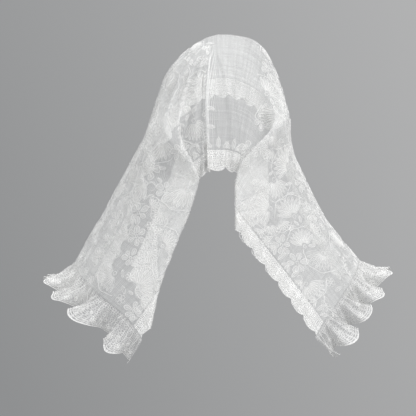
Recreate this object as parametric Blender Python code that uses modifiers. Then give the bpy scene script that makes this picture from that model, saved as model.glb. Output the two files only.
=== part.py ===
"""Short sheer bridal veil, worn over a head and falling on both shoulders.

The cloth is a rectangle laid crosswise: its length runs over the crown from one shoulder to the
other, its width from the hairline to the nape. A point of the cloth is named by its flat place,
in millimetres: x towards the wearer's left shoulder, y towards the nape, from the crown.
veil_point() drapes such a place. The wearer faces -Y, up is +Z, and the origin is under the crown.
"""
from collections import namedtuple

import bmesh
import bpy
import numpy as np

MM = 0.001
COLLECTION = "bridal_veil"

# ------------------------------------------------------------------ flat sizes of the cloth, mm
HALF_LENGTH = 368.0      # crown to the seam of the gathered end
BACK_REACH = 236.0       # crown to the scalloped edge at the nape
FRONT_REACH = 130.0      # crown to the scalloped edge at the hairline
EDGING_WIDTH = 28.0
PANEL_BACK = BACK_REACH - EDGING_WIDTH
PANEL_FRONT = FRONT_REACH - EDGING_WIDTH
WALL = 1.05
SEAM_GAP = 0.6

# ------------------------------------------------- level sections of the hanging cloth, mm
# depth is measured down from the crown, the other columns out from the upright axis
Section = namedtuple("Section", "name depth left right back front")
SECTIONS = (
    Section("crown", 0, 0, 0, 0, 0),
    Section("cap", 7, 25, 39, 33, 34),
    Section("upper_head", 36, 60, 63, 74, 71),
    Section("widest", 92, 82, 80, 97, 93),
    Section("ears", 135, 97, 84, 98, 99),
    Section("neck", 190, 127, 106, 95, 104),
    Section("collar", 250, 159, 139, 98, 111),
    Section("shoulders", 305, 191, 184, 105, 120),
    Section("upper_arms", 370, 226, 230, 116, 131),
    Section("chest", 450, 268, 276, 128, 146),
)
ROUNDNESS = 2.25         # exponent of the level sections, 2 would be an ellipse

# ---------------------------------------------------- how the cloth opens below the head
HEAD_REACH = 120.0       # down to here the cloth lies straight on the head
HEM_REACH = 400.0
LEFT_BACK_SPREAD = -6.0  # degrees that a slanting line of the cloth swings to the middle
RIGHT_BACK_SPREAD = -3.0
FRONT_SPREAD = 14.0
BIAS_STRETCH = 0.05      # the net gives this much on its slant

# --------------------------------------------------------------------------- folds
# all of them start from the pinch, a little behind the crown; directions are flat degrees around
# it, 0 to the nape and 90 to the wearer's left
PINCH_X = 14.0
PINCH_Y = 48.0
EASE = 0.65              # cloth laid out by the drape for each millimetre of the fold
BEND_SHARE = 0.2         # part of a pleat's cloth that each of its two bends takes
TIGHTEST = 2.7           # smallest bend radius of the net
PLEAT_END = 340.0        # distance from the pinch at which a pleat has its far direction

# a pleat takes up `folded` mm of cloth on the side it sweeps to, and its fold edge faces the other
# way; it starts on a line that curves from the near to the far direction, and at `calm` the cloth
# lies on the form again; `seat` names the web lines it starts and ends on
Pleat = namedtuple("Pleat", "name near far curve sweep folded seat_start seat_end calm turn begins full")
PLEATS = (
    Pleat("right_band", -57, -34, 1.3, -1, 56, -42, -54, -104, 160, 66, 230),
    Pleat("left_band", 12, 52, 1.6, 1, 64, 44, 56, 92, 162, 34, 250),
)

# a ridge is gone again 70 mm after `fades`
Ridge = namedtuple("Ridge", "name toward half_width lift lean begins full fades")
RIDGES = (
    Ridge("band_crest", 24, 10, 5.5, -3, 16, 66, 90),
    Ridge("nape_fold", -1, 9, 6.0, 8, 16, 120, 999),
    Ridge("left_crown_1", 74, 8, 5.0, 3, 14, 66, 999),
    Ridge("left_crown_2", 92, 8, 6.0, -3, 14, 110, 999),
    Ridge("left_crown_3", 111, 8, 6.5, 4, 14, 150, 999),
    Ridge("right_of_pinch", -16, 7, 3.0, 0, 14, 60, 999),
    Ridge("right_shoulder", -80, 8, 6.0, 3, 120, 300, 999),
    Ridge("right_crown", -112, 8, 5.5, -3, 20, 200, 999),
    Ridge("right_front_1", -128, 9, 5.0, 0, 30, 170, 999),
    Ridge("right_front_2", -149, 12, 5.0, -1, 40, 150, 999),
    Ridge("left_front_1", 131, 10, 6.5, -3, 40, 170, 999),
    Ridge("left_front_2", 152, 11, 5.0, 3, 40, 140, 999),
)

# ------------------------------------------------------------------------- trimmings, mm
SCALLOP_PITCH = 27.0
SCALLOP_DEPTH = 6.0
RUFFLE_WIDTH = 48.0
RUFFLE_WAVES = 8
RUFFLE_SWING = 16.0      # how far a wave of the free edge stands to each side
RUFFLE_CURL = 5.0        # how far a wave bells out over its neighbour
RUFFLE_TURN = 0.45       # radians the free edge is turned up from the line of the cloth
RUFFLE_BELL = 4.0        # how much wider its outer waves are than the inner ones
RUFFLE_ARCH = 0.44       # part of its width that the inner waves draw back
RUFFLE_UNEVEN = 0.22     # difference between one wave and the next
RUFFLE_LEAN = 4.0        # how far a wave leans along the seam

# ------------------------------------------------------------------------- mesh density
EDGE_STEP = 9.0          # spacing of points along the panel's outline
RAY_APART = 2.3          # degrees between lines that run all the way to the pinch
MIDDLE_LINE = 3.0        # web line that runs straight to the nape
LEAST_SEAT = 9.0         # degrees that the lines of a pleat keep between them
RINGS = (0.06, 0.13, 0.21, 0.30, 0.40, 0.50, 0.60, 0.70, 0.80, 0.90, 0.98, 1.0)
BEND_POINTS = (0.0, 0.08, 0.16, 0.5, 0.84, 0.92, 1.0)
MEAN_REACH = 190.0       # radius that the rings of the web near the pinch have
EDGING_ROWS = (0.0, 0.12, 0.55, 1.0)
RUFFLE_STEPS = 12        # points along one wave
RUFFLE_ROWS = (0.0, 0.10, 0.38, 0.68, 1.0)


# ================================================================== curves and tables
def smoothstep(value):
    """Ease from 0 to 1 with level ends."""
    value = np.clip(value, 0.0, 1.0)
    return value * value * (3.0 - 2.0 * value)


def spline(knots, values, at):
    """Natural cubic spline through values at the knots."""
    count = len(knots)
    step = np.diff(knots)
    slope = np.diff(values) / step
    system = np.eye(count)
    right_side = np.zeros(count)
    for k in range(1, count - 1):
        system[k, k - 1] = step[k - 1]
        system[k, k] = 2.0 * (step[k - 1] + step[k])
        system[k, k + 1] = step[k]
        right_side[k] = 6.0 * (slope[k] - slope[k - 1])
    bend = np.linalg.solve(system, right_side)
    k = np.clip(np.searchsorted(knots, at) - 1, 0, count - 2)
    a = (knots[k + 1] - at) / step[k]
    b = 1.0 - a
    curve = ((a ** 3 - a) * bend[k] + (b ** 3 - b) * bend[k + 1]) * step[k] ** 2 / 6.0
    return a * values[k] + b * values[k + 1] + curve


def between(table, row, column):
    """Read a table at fractional rows and columns."""
    row = np.clip(row, 0, table.shape[0] - 1.001)
    column = np.clip(column, 0, table.shape[1] - 1.001)
    i = row.astype(int)
    j = column.astype(int)
    u = row - i
    v = column - j
    near = table[i, j] * (1 - v) + table[i, j + 1] * v
    far = table[i + 1, j] * (1 - v) + table[i + 1, j + 1] * v
    return near * (1 - u) + far * u


# ================================================================== the hanging form
FINE = 600
AZIMUTH_STEP = 2.0
REACH_STEP = 2.0


def section_columns():
    """Depth and half widths as smooth columns, from the crown down."""
    depth = np.array([s.depth for s in SECTIONS], float)
    mean = np.array([(s.left + s.right + s.back + s.front) / 4 for s in SECTIONS], float)
    knots = np.concatenate([[0], np.cumsum(np.hypot(np.diff(depth), np.diff(mean)))])
    at = np.linspace(0, knots[-1], FINE)
    both_sides = np.concatenate([-knots[3:0:-1], knots])
    columns = {"depth": spline(both_sides, np.concatenate([depth[3:0:-1], depth]), at)}
    for side in ("left", "right", "back", "front"):
        width = np.array([getattr(s, side) for s in SECTIONS], float)
        columns[side] = spline(both_sides, np.concatenate([-width[3:0:-1], width]), at)
    return columns


COLUMNS = section_columns()


def ring_radius(azimuth, level):
    """Distance of the hanging form from the upright axis; level counts the fine sections."""
    across = np.sin(np.radians(azimuth))
    along = np.cos(np.radians(azimuth))

    def column(name):
        return np.interp(level, np.arange(FINE), COLUMNS[name])

    wide = np.where(across > 0, column("left"), column("right")) + 1e-6
    deep = np.where(along > 0, column("back"), column("front")) + 1e-6
    total = (np.abs(across) / wide) ** ROUNDNESS + (np.abs(along) / deep) ** ROUNDNESS
    return total ** (-1.0 / ROUNDNESS)


def level_table():
    """Section level by azimuth and by distance from the crown along the form."""
    azimuths = np.arange(-180, 180 + AZIMUTH_STEP, AZIMUTH_STEP)
    levels = np.arange(FINE)
    rows = []
    for azimuth in azimuths:
        radius = ring_radius(np.full(FINE, azimuth), levels)
        steps = np.hypot(np.diff(radius), np.diff(COLUMNS["depth"]))
        reach = np.concatenate([[0], np.cumsum(steps)])
        rows.append(np.interp(np.arange(0, 520, REACH_STEP), reach, levels))
    return np.array(rows)


LEVELS = level_table()


def form_point(azimuth, reach):
    """Point of the hanging form, reach millimetres from the crown."""
    azimuth = (azimuth + 180.0) % 360.0 - 180.0
    level = between(LEVELS, (azimuth + 180.0) / AZIMUTH_STEP, np.maximum(reach, 0) / REACH_STEP)
    radius = ring_radius(azimuth, level)
    depth = np.interp(level, np.arange(FINE), COLUMNS["depth"])
    across = radius * np.sin(np.radians(azimuth))
    along = radius * np.cos(np.radians(azimuth))
    return np.stack([across, along, -depth], axis=-1)


def form_normal(azimuth, reach):
    """Outward unit normal of the hanging form."""
    turn = form_point(azimuth + 1.0, reach) - form_point(azimuth - 1.0, reach)
    fall = form_point(azimuth, reach + 2.0) - form_point(azimuth, reach - 2.0)
    normal = np.cross(fall, turn)
    length = np.linalg.norm(normal, axis=-1, keepdims=True)
    upright = np.zeros_like(normal)
    upright[..., 2] = 1.0
    normal = np.where(length > 1e-6, normal / np.maximum(length, 1e-6), upright)
    from_middle = (normal * form_point(azimuth, reach) / 100).sum(-1, keepdims=True)
    outward = np.sign(normal[..., 2:3] + 0.6 * from_middle)
    return normal * np.where(outward == 0, 1.0, outward)


# ================================================================== folds
TURN_STEP = 1.0
PLEAT_FINE = 240


def pleat_tables():
    """A strip of unit length that turns back on itself: how far it gets along and up."""
    turn = np.radians(np.arange(0, 176, TURN_STEP))[:, None]
    share = np.linspace(0, 1, PLEAT_FINE + 1)[None, :]
    bent = smoothstep(share / BEND_SHARE) * smoothstep((1 - share) / BEND_SHARE)
    angle = turn * bent
    tables = []
    for heading in (np.cos(angle), np.sin(angle)):
        middle = (heading[:, 1:] + heading[:, :-1]) / 2 / PLEAT_FINE
        tables.append(np.concatenate([np.zeros((len(turn), 1)), np.cumsum(middle, axis=1)], axis=1))
    return tables


PLEAT_ALONG, PLEAT_UP = pleat_tables()


def wrapped(angle):
    """Degrees brought between -180 and 180."""
    return (angle + 180.0) % 360.0 - 180.0


def folded_cloth(pleat, out):
    """Cloth, mm, that a pleat takes up at a distance from the pinch."""
    return pleat.folded * smoothstep((out - pleat.begins) / (pleat.full - pleat.begins))


def pleat_start(pleat, out):
    """Direction from the pinch in which a pleat starts."""
    gone = np.clip((out - pleat.begins) / (PLEAT_END - pleat.begins), 0.0, 1.0)
    return pleat.near + (pleat.far - pleat.near) * (1.0 - (1.0 - gone) ** pleat.curve)


def folds(x, y):
    """Sideways shift and lift, mm, that pleats and ridges give to flat places."""
    out = np.hypot(x - PINCH_X, y - PINCH_Y)
    direction = np.degrees(np.arctan2(x - PINCH_X, y - PINCH_Y))
    shift = np.zeros_like(out)
    lift = np.zeros_like(out)
    for pleat in PLEATS:
        start = pleat_start(pleat, out)
        past = pleat.sweep * (direction - start)
        cloth = folded_cloth(pleat, out)
        width = np.degrees(cloth / np.maximum(out, 1.0))
        share = np.clip(past / np.maximum(width, 0.1), 0, 1)
        turn = np.degrees(BEND_SHARE * cloth / 1.5 / TIGHTEST)
        row = np.minimum(turn, pleat.turn) / TURN_STEP
        column = share * PLEAT_FINE
        laid = share * (1 - (1 - EASE) * cloth / pleat.folded)
        left_over = pleat.sweep * (pleat.calm - start) - width
        settled = 1 - smoothstep((past - width) / left_over)
        shift += pleat.sweep * cloth * (between(PLEAT_ALONG, row, column) - laid) * settled
        lift += cloth * between(PLEAT_UP, row, column) * settled
    for ridge in RIDGES:
        across = np.clip(wrapped(direction - ridge.toward) / ridge.half_width, -1, 1)
        grown = smoothstep((out - ridge.begins) / (ridge.full - ridge.begins))
        grown = grown * (1 - smoothstep((out - ridge.fades) / 70.0))
        crest = (0.5 + 0.5 * np.cos(np.pi * across)) * grown
        shift += ridge.lean * crest
        lift += ridge.lift * crest
    return shift, lift


def veil_point(x, y):
    """Draped place, mm, of the middle of the cloth at flat x and y."""
    x = np.asarray(x, float)
    y = np.asarray(y, float)
    reach = np.hypot(x, y)
    flat_angle = np.degrees(np.arctan2(x, y))
    slant = np.sin(np.radians(2 * np.abs(flat_angle)))
    loose = smoothstep((reach - HEAD_REACH) / (HEM_REACH - HEAD_REACH))
    back_spread = np.where(x > 0, LEFT_BACK_SPREAD, RIGHT_BACK_SPREAD)
    spread = np.where(slant > 0, back_spread, FRONT_SPREAD)
    azimuth = flat_angle - np.sign(x) * spread * slant * loose
    reach = reach * (1 + BIAS_STRETCH * slant ** 2 * loose)
    shift, lift = folds(x, y)
    start = form_point(azimuth, reach)
    radius = np.maximum(np.hypot(start[..., 0], start[..., 1]), 25.0)
    azimuth = azimuth + np.degrees(shift / radius)
    return form_point(azimuth, reach) + form_normal(azimuth, reach) * lift[..., None]


# ================================================================== web of the net panel
def web_knots(out):
    """Web lines that are tied to the pleats and the directions they run in at a distance."""
    stations = [-180.0, PLEATS[0].calm]
    directions = [-180.0, PLEATS[0].calm]
    for pleat in PLEATS:
        start = pleat_start(pleat, out)
        end = start + pleat.sweep * max(np.degrees(folded_cloth(pleat, out) / out), LEAST_SEAT)
        ordered = [(pleat.seat_start, start), (pleat.seat_end, end)]
        for station, direction in ordered[::pleat.sweep]:
            stations.append(station)
            directions.append(direction)
        if pleat is PLEATS[0]:
            stations.append(MIDDLE_LINE)
            directions.append(MIDDLE_LINE)
    stations.extend((PLEATS[-1].calm, 180.0))
    directions.extend((PLEATS[-1].calm, 180.0))
    return stations, directions


def web_direction(station, out):
    """Direction from the pinch of a web line; inside a pleat the lines keep to its cloth."""
    stations, directions = web_knots(out)
    return np.interp(station, stations, directions)


def web_station(direction, out):
    """Web line that passes a direction at a distance."""
    stations, directions = web_knots(out)
    return np.interp(direction, directions, stations)


def outline_hit(direction):
    """Where a straight line from the pinch leaves the panel."""
    dx = np.sin(np.radians(direction))
    dy = np.cos(np.radians(direction))
    side = (HALF_LENGTH if dx > 0 else -HALF_LENGTH) - PINCH_X
    end = (PANEL_BACK if dy > 0 else -PANEL_FRONT) - PINCH_Y
    out = min(side / dx if abs(dx) > 1e-9 else np.inf, end / dy if abs(dy) > 1e-9 else np.inf)
    return PINCH_X + out * dx, PINCH_Y + out * dy


def outline_stations():
    """Web lines round the panel as [station, flat end point, runs to the pinch], by direction."""
    corners = (
        (HALF_LENGTH, -PANEL_FRONT), (HALF_LENGTH, PANEL_BACK),
        (-HALF_LENGTH, PANEL_BACK), (-HALF_LENGTH, -PANEL_FRONT),
    )
    lines = []
    for first, last in zip(corners, corners[1:] + corners[:1]):
        length = np.hypot(last[0] - first[0], last[1] - first[1])
        count = round(length / EDGE_STEP)
        for k in range(count):
            x, y = (a + (b - a) * k / count for a, b in zip(first, last))
            direction = np.degrees(np.arctan2(x - PINCH_X, y - PINCH_Y))
            out = np.hypot(x - PINCH_X, y - PINCH_Y)
            lines.append([web_station(direction, out), (x, y), k == 0])
    for pleat in PLEATS:
        for share in BEND_POINTS:
            station = pleat.seat_start + (pleat.seat_end - pleat.seat_start) * share
            place = outline_hit(station)
            for _ in range(6):
                out = np.hypot(place[0] - PINCH_X, place[1] - PINCH_Y)
                place = outline_hit(web_direction(station, out))
            lines.append([station, place, True])
    lines.sort(key=lambda line: -line[0])
    kept = []
    for k, line in enumerate(lines):
        next_line = lines[(k + 1) % len(lines)]
        for other in kept[-1:] + [next_line]:
            near = np.hypot(line[1][0] - other[1][0], line[1][1] - other[1][1]) < 3.0
            if near and other[2] and not line[2]:
                break
        else:
            kept.append(line)
    fixed = [line[0] for line in kept if line[2]]
    last = 1e3
    for line in kept:
        clear = min(abs(wrapped(line[0] - station)) for station in fixed)
        if line[2] or (last - line[0] > RAY_APART and clear > 0.7 * RAY_APART):
            line[2] = True
            last = line[0]
    return kept


# ================================================================== Blender objects
def new_material(name, colour, roughness):
    """Plain Principled material."""
    material = bpy.data.materials.new(name)
    material.use_nodes = True
    shader = material.node_tree.nodes["Principled BSDF"]
    shader.inputs["Base Color"].default_value = (*colour, 1.0)
    shader.inputs["Roughness"].default_value = roughness
    shader.inputs["Metallic"].default_value = 0.0
    return material


def cloth_object(name, places, faces, material):
    """A sheet through draped places, mm, thickened to both sides into a closed wall."""
    mesh = bpy.data.meshes.new(name)
    sheet = bmesh.new()
    corners = [sheet.verts.new([c * MM for c in place]) for place in places]
    for face in faces:
        sheet.faces.new([corners[k] for k in face])
    bmesh.ops.triangulate(sheet, faces=[f for f in sheet.faces if len(f.verts) > 3])
    sheet.to_mesh(mesh)
    sheet.free()
    mesh.materials.append(material)
    mesh.shade_smooth()
    piece = bpy.data.objects.new(name, mesh)
    bpy.data.collections[COLLECTION].objects.link(piece)
    wall = piece.modifiers.new("wall", "SOLIDIFY")
    wall.thickness = WALL * MM
    wall.offset = 0.0
    return piece


def strip_faces(columns, rows):
    """Quads of a strip whose points run row by row within each column, turned outwards."""
    faces = []
    for c in range(columns - 1):
        for r in range(rows - 1):
            a = c * rows + r
            faces.append((a, a + rows, a + rows + 1, a + 1))
    return faces


def build_panel(lines, material):
    """The embroidered net: a web of lines from the pinch to the outline."""
    rays = [k for k, (station, place, rayed) in enumerate(lines) if rayed]
    flat = [(PINCH_X, PINCH_Y)]
    for fraction in RINGS[:-1]:
        for k in rays:
            station, (x, y), _ = lines[k]
            full = np.hypot(x - PINCH_X, y - PINCH_Y)
            out = fraction * (MEAN_REACH * (1.0 - fraction) + full * fraction)
            direction = np.radians(web_direction(station, out))
            flat.append((PINCH_X + out * np.sin(direction), PINCH_Y + out * np.cos(direction)))
    edge_start = len(flat)
    flat.extend(place for station, place, rayed in lines)
    faces = []
    count = len(rays)
    for k in range(count):
        after = (k + 1) % count
        faces.append((0, 1 + k, 1 + after))
        for ring in range(len(RINGS) - 2):
            inner = 1 + ring * count
            outer = inner + count
            faces.append((inner + k, outer + k, outer + after, inner + after))
        inner = 1 + (len(RINGS) - 2) * count
        last = rays[after] if after else rays[after] + len(lines)
        rim = [edge_start + m % len(lines) for m in range(rays[k], last + 1)]
        faces.append((inner + k, *rim, inner + after))
    places = veil_point([x for x, y in flat], [y for x, y in flat])
    return cloth_object("net_panel", places, faces, material)


def scallop(x):
    """How far the scalloped edge reaches at flat x, from its notches."""
    return SCALLOP_DEPTH * np.abs(np.cos(np.pi * x / SCALLOP_PITCH)) ** 0.8


def seam_room(x, y):
    """Flat distance across a lengthwise seam that leaves SEAM_GAP between the draped edges."""
    along = veil_point(x + 0.5, y) - veil_point(x - 0.5, y)
    across = veil_point(x, y + 0.5) - veil_point(x, y - 0.5)
    apart = np.linalg.norm(np.cross(along, across)) / max(np.linalg.norm(along), 0.05)
    return SEAM_GAP / np.clip(apart, 0.3, 1.0)


def build_edging(name, lines, seam_y, outer_y, material):
    """Scalloped lace along one long edge, on the same points as the panel's outline."""
    stations = sorted(x for station, (x, y), rayed in lines if abs(y - seam_y) < 1e-6)
    side = 1.0 if outer_y > seam_y else -1.0
    flat = []
    for x in stations:
        room = (HALF_LENGTH - abs(x)) * 0.4
        direction = np.degrees(np.arctan2(x - PINCH_X, seam_y - PINCH_Y))
        station = web_station(direction, np.hypot(x - PINCH_X, seam_y - PINCH_Y))
        reach = (outer_y - PINCH_Y) / (seam_y - PINCH_Y)
        onward = web_direction(station, np.hypot(x - PINCH_X, seam_y - PINCH_Y) * reach)
        drift = PINCH_X + (outer_y - PINCH_Y) * np.tan(np.radians(onward)) - x
        drift = np.clip(drift, -room, room)
        notch = outer_y - side * (SCALLOP_DEPTH - scallop(x))
        for share in EDGING_ROWS:
            start = seam_y + side * seam_room(x, seam_y)
            flat.append((x + drift * share, start + (notch - start) * share))
    faces = strip_faces(len(stations), len(EDGING_ROWS))
    if side > 0:
        faces = [tuple(reversed(face)) for face in faces]
    places = veil_point([x for x, y in flat], [y for x, y in flat])
    return cloth_object(name, places, [tuple(reversed(f)) for f in faces], material)


def unit(vectors):
    """Vectors brought to length one."""
    return vectors / np.maximum(np.linalg.norm(vectors, axis=-1, keepdims=True), 1e-9)


def build_ruffle(name, side, material):
    """Gathered lace on one short end, turned up from the cloth in deep round waves."""
    count = RUFFLE_WAVES * RUFFLE_STEPS
    along = np.linspace(0, 1, count + 1)
    y = -FRONT_REACH + (BACK_REACH + FRONT_REACH) * along
    x = np.full_like(y, side * (HALF_LENGTH + SEAM_GAP))
    seam = veil_point(x, y)
    outward = unit(veil_point(x + side * 6, y) - veil_point(x - side * 6, y))
    sideways = unit(veil_point(x, y + 6) - veil_point(x, y - 6))
    normal = unit(np.cross(sideways, outward)) * -side
    wave = 2 * np.pi * RUFFLE_WAVES * (along + 0.012 * np.sin(9 * along + side))
    uneven = 1 + 0.14 * np.sin(11 * along + side) + RUFFLE_UNEVEN * np.sin(wave / 2 + 1.0)
    turn = RUFFLE_TURN * (1 + 0.4 * np.sin(7.5 * along - 2.0 + 0.4 * side))
    bell = RUFFLE_CURL * np.sin(2 * wave) + RUFFLE_BELL * np.cos(wave)
    lean = RUFFLE_LEAN * np.sin(14.5 * along + 1.5 * side)
    drawn_back = RUFFLE_ARCH * (1 - np.sin(wave)) / 2
    places = []
    for k in range(count + 1):
        for row in RUFFLE_ROWS:
            free = max(row - RUFFLE_ROWS[1], 0.0) / (1.0 - RUFFLE_ROWS[1])
            tipped = turn[k] * free + 0.001
            reach = RUFFLE_WIDTH * row * (1 - drawn_back[k] * free)
            swing = RUFFLE_SWING * np.sin(wave[k]) * free ** 0.85 * uneven[k]
            away = reach * np.sin(tipped) / tipped - swing * np.sin(tipped)
            off = reach * (1 - np.cos(tipped)) / tipped + swing * np.cos(tipped)
            sway = (lean[k] - bell[k] * uneven[k]) * free
            places.append(seam[k] + outward[k] * away + normal[k] * off + sideways[k] * sway)
    faces = strip_faces(count + 1, len(RUFFLE_ROWS))
    if side > 0:
        faces = [tuple(reversed(face)) for face in faces]
    return cloth_object(name, places, faces, material)


def main():
    """Build every piece of the veil."""
    for item in list(bpy.data.objects):
        bpy.data.objects.remove(item, do_unlink=True)
    collection = bpy.data.collections.new(COLLECTION)
    bpy.context.scene.collection.children.link(collection)
    lines = outline_stations()
    net = new_material("net", (0.90, 0.90, 0.89), 0.75)
    build_panel(lines, net)
    for name, seam_y, outer_y in (
        ("back_edging", PANEL_BACK, BACK_REACH),
        ("front_edging", -PANEL_FRONT, -FRONT_REACH),
    ):
        build_edging(name, lines, seam_y, outer_y, new_material(name, (0.93, 0.93, 0.92), 0.7))
    for name, side in (("ruffle_left", 1.0), ("ruffle_right", -1.0)):
        build_ruffle(name, side, new_material(name, (0.94, 0.94, 0.93), 0.7))


main()
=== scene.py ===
"""Dresses the bridal veil: sheer net, embroidery, scalloped lace and gathered lace ends.

The drape is the solids' own: veil_point() takes a flat place of the cloth, in millimetres, to
where it hangs. Everything that is stitched on the net is drawn flat and draped with it.
"""
from collections import namedtuple

import bpy
import numpy as np
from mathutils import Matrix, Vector


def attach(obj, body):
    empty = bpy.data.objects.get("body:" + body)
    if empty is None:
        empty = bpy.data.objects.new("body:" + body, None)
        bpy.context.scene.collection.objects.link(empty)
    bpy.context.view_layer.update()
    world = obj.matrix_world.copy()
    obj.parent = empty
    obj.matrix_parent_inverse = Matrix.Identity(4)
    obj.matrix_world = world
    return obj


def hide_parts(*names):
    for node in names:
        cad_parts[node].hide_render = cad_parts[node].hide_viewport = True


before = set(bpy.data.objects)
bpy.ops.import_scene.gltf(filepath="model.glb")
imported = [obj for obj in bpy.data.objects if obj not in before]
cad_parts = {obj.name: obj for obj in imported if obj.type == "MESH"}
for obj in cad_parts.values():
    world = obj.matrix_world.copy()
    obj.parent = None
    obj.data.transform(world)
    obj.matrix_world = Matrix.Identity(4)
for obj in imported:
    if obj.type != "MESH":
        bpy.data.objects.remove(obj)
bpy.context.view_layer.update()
MM = 0.001
rng = np.random.default_rng(7)

# ------------------------------------------------------------------ flat sizes of the cloth, mm
HALF_LENGTH = 368.0      # crown to the seam of the gathered end
BACK_REACH = 236.0       # crown to the scalloped edge at the nape
FRONT_REACH = 130.0      # crown to the scalloped edge at the hairline
EDGING_WIDTH = 28.0
PANEL_BACK = BACK_REACH - EDGING_WIDTH
PANEL_FRONT = FRONT_REACH - EDGING_WIDTH
SEAM_GAP = 0.6

# ------------------------------------------------- level sections of the hanging cloth, mm
# depth is measured down from the crown, the other columns out from the upright axis
Section = namedtuple("Section", "name depth left right back front")
SECTIONS = (
    Section("crown", 0, 0, 0, 0, 0),
    Section("cap", 7, 25, 39, 33, 34),
    Section("upper_head", 36, 60, 63, 74, 71),
    Section("widest", 92, 82, 80, 97, 93),
    Section("ears", 135, 97, 84, 98, 99),
    Section("neck", 190, 127, 106, 95, 104),
    Section("collar", 250, 159, 139, 98, 111),
    Section("shoulders", 305, 191, 184, 105, 120),
    Section("upper_arms", 370, 226, 230, 116, 131),
    Section("chest", 450, 268, 276, 128, 146),
)
ROUNDNESS = 2.25         # exponent of the level sections, 2 would be an ellipse

# ---------------------------------------------------- how the cloth opens below the head
HEAD_REACH = 120.0       # down to here the cloth lies straight on the head
HEM_REACH = 400.0
LEFT_BACK_SPREAD = -6.0  # degrees that a slanting line of the cloth swings to the middle
RIGHT_BACK_SPREAD = -3.0
FRONT_SPREAD = 14.0
BIAS_STRETCH = 0.05      # the net gives this much on its slant

# --------------------------------------------------------------------------- folds
# all of them start from the pinch, a little behind the crown; directions are flat degrees around
# it, 0 to the nape and 90 to the wearer's left
PINCH_X = 14.0
PINCH_Y = 48.0
EASE = 0.65              # cloth laid out by the drape for each millimetre of the fold
BEND_SHARE = 0.2         # part of a pleat's cloth that each of its two bends takes
TIGHTEST = 2.7           # smallest bend radius of the net
PLEAT_END = 340.0        # distance from the pinch at which a pleat has its far direction

# a pleat takes up `folded` mm of cloth on the side it sweeps to, and its fold edge faces the other
# way; it starts on a line that curves from the near to the far direction, and at `calm` the cloth
# lies on the form again; `seat` names the web lines it starts and ends on
Pleat = namedtuple("Pleat", "name near far curve sweep folded seat_start seat_end calm turn begins full")
PLEATS = (
    Pleat("right_band", -57, -34, 1.3, -1, 56, -42, -54, -104, 160, 66, 230),
    Pleat("left_band", 12, 52, 1.6, 1, 64, 44, 56, 92, 162, 34, 250),
)

# a ridge is gone again 70 mm after `fades`
Ridge = namedtuple("Ridge", "name toward half_width lift lean begins full fades")
RIDGES = (
    Ridge("band_crest", 24, 10, 5.5, -3, 16, 66, 90),
    Ridge("nape_fold", -1, 9, 6.0, 8, 16, 120, 999),
    Ridge("left_crown_1", 74, 8, 5.0, 3, 14, 66, 999),
    Ridge("left_crown_2", 92, 8, 6.0, -3, 14, 110, 999),
    Ridge("left_crown_3", 111, 8, 6.5, 4, 14, 150, 999),
    Ridge("right_of_pinch", -16, 7, 3.0, 0, 14, 60, 999),
    Ridge("right_shoulder", -80, 8, 6.0, 3, 120, 300, 999),
    Ridge("right_crown", -112, 8, 5.5, -3, 20, 200, 999),
    Ridge("right_front_1", -128, 9, 5.0, 0, 30, 170, 999),
    Ridge("right_front_2", -149, 12, 5.0, -1, 40, 150, 999),
    Ridge("left_front_1", 131, 10, 6.5, -3, 40, 170, 999),
    Ridge("left_front_2", 152, 11, 5.0, 3, 40, 140, 999),
)

# ------------------------------------------------------------------------- trimmings, mm
SCALLOP_PITCH = 27.0
SCALLOP_DEPTH = 6.0
RUFFLE_WIDTH = 48.0
RUFFLE_WAVES = 8
RUFFLE_SWING = 16.0      # how far a wave of the free edge stands to each side
RUFFLE_CURL = 5.0        # how far a wave bells out over its neighbour
RUFFLE_TURN = 0.45       # radians the free edge is turned up from the line of the cloth
RUFFLE_BELL = 4.0        # how much wider its outer waves are than the inner ones
RUFFLE_ARCH = 0.44       # part of its width that the inner waves draw back
RUFFLE_UNEVEN = 0.22     # difference between one wave and the next
RUFFLE_LEAN = 4.0        # how far a wave leans along the seam

LEAST_SEAT = 9.0         # degrees that the lines of a pleat keep between them
MIDDLE_LINE = 3.0        # web line that runs straight to the nape

# finer creases than the solids have: the same columns
RIDGES = RIDGES + (
    Ridge("head_crease_1", -24, 4, 1.6, 1, 20, 90, 999),
    Ridge("head_crease_2", -33, 4, 1.4, -1, 30, 100, 999),
    Ridge("head_crease_3", -43, 4, 1.8, 1, 30, 100, 999),
    Ridge("head_crease_4", -9, 3, 1.2, 1, 20, 80, 999),
    Ridge("nape_crease", 10, 4, 1.5, 1, 20, 90, 999),
    Ridge("band_crease_1", 66, 3, 1.4, 1, 60, 200, 999),
    Ridge("wing_crease_1", 83, 3, 1.8, 1, 90, 220, 999),
    Ridge("wing_crease_2", 101, 4, 1.8, -1, 60, 200, 999),
    Ridge("wing_crease_3", -68, 3, 1.6, 1, 120, 260, 999),
    Ridge("wing_crease_4", -90, 4, 1.8, 1, 60, 200, 999),
    Ridge("wing_crease_5", -104, 4, 1.8, -1, 60, 200, 999),
    Ridge("nape_edge", 0, 5, 2.6, 4, 8, 44, 999),
    Ridge("crest_edge", 24, 7, 2.6, -2, 8, 44, 90),
    Ridge("crown_crease_1", 12, 4, 2.0, 1, 12, 60, 999),
    Ridge("crown_crease_2", 38, 5, 2.4, -1, 14, 70, 120),
    Ridge("crown_crease_3", 54, 5, 2.2, 1, 16, 70, 120),
    Ridge("crown_crease_4", 83, 4, 2.0, 1, 14, 70, 200),
    Ridge("crown_crease_5", 101, 4, 2.0, 1, 14, 80, 200),
    Ridge("brow_crease_1", 165, 6, 1.5, 0, 40, 110, 999),
    Ridge("brow_crease_2", -168, 6, 1.5, 0, 40, 110, 999),
)


# ================================================================== curves and tables
def smoothstep(value):
    """Ease from 0 to 1 with level ends."""
    value = np.clip(value, 0.0, 1.0)
    return value * value * (3.0 - 2.0 * value)


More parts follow.
